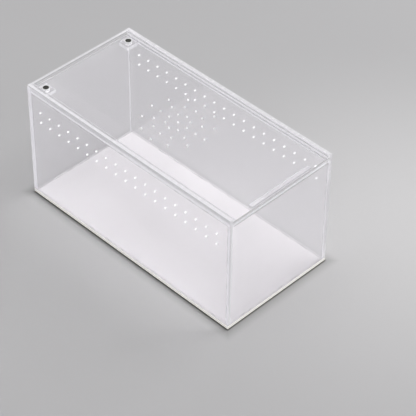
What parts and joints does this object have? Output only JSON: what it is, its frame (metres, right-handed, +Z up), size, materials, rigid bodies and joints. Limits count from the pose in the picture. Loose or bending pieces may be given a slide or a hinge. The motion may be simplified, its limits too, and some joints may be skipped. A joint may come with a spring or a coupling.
{
  "type": "acrylic reptile terrarium",
  "caption": "Clear acrylic terrarium box with a white base, vented long walls, glued rails and a vented sliding lid that magnets hold closed.",
  "frame": {"origin": "centre of the base plate's underside", "axes": "+X along the length, towards the open end that the lid slides out of; +Y to the back wall; +Z up"},
  "size_m": [0.308, 0.151, 0.152],
  "materials": {
    "clear_acrylic": "clear polished cast sheet",
    "white_acrylic": "white opaque gloss sheet",
    "magnet": "black nickel plated"
  },
  "bodies": {
    "box": {"base_plate": "white_acrylic", "front_wall": "clear_acrylic", "back_wall": "clear_acrylic", "left_end_wall": "clear_acrylic", "right_end_wall": "clear_acrylic", "front_upper_rail": "clear_acrylic", "front_lower_rail": "clear_acrylic", "back_upper_rail": "clear_acrylic", "back_lower_rail": "clear_acrylic", "front_magnet_block": "clear_acrylic", "back_magnet_block": "clear_acrylic", "front_block_magnet": "magnet", "back_block_magnet": "magnet"},
    "lid": {"lid_panel": "clear_acrylic", "lid_pull_strip": "clear_acrylic", "front_lid_magnet": "magnet", "back_lid_magnet": "magnet"}
  },
  "joints": [
    {"name": "lid_slide", "type": "slide", "parent": "box", "child": "lid", "axis": [1, 0, 0], "range_m": [0, 0.31]}
  ]
}
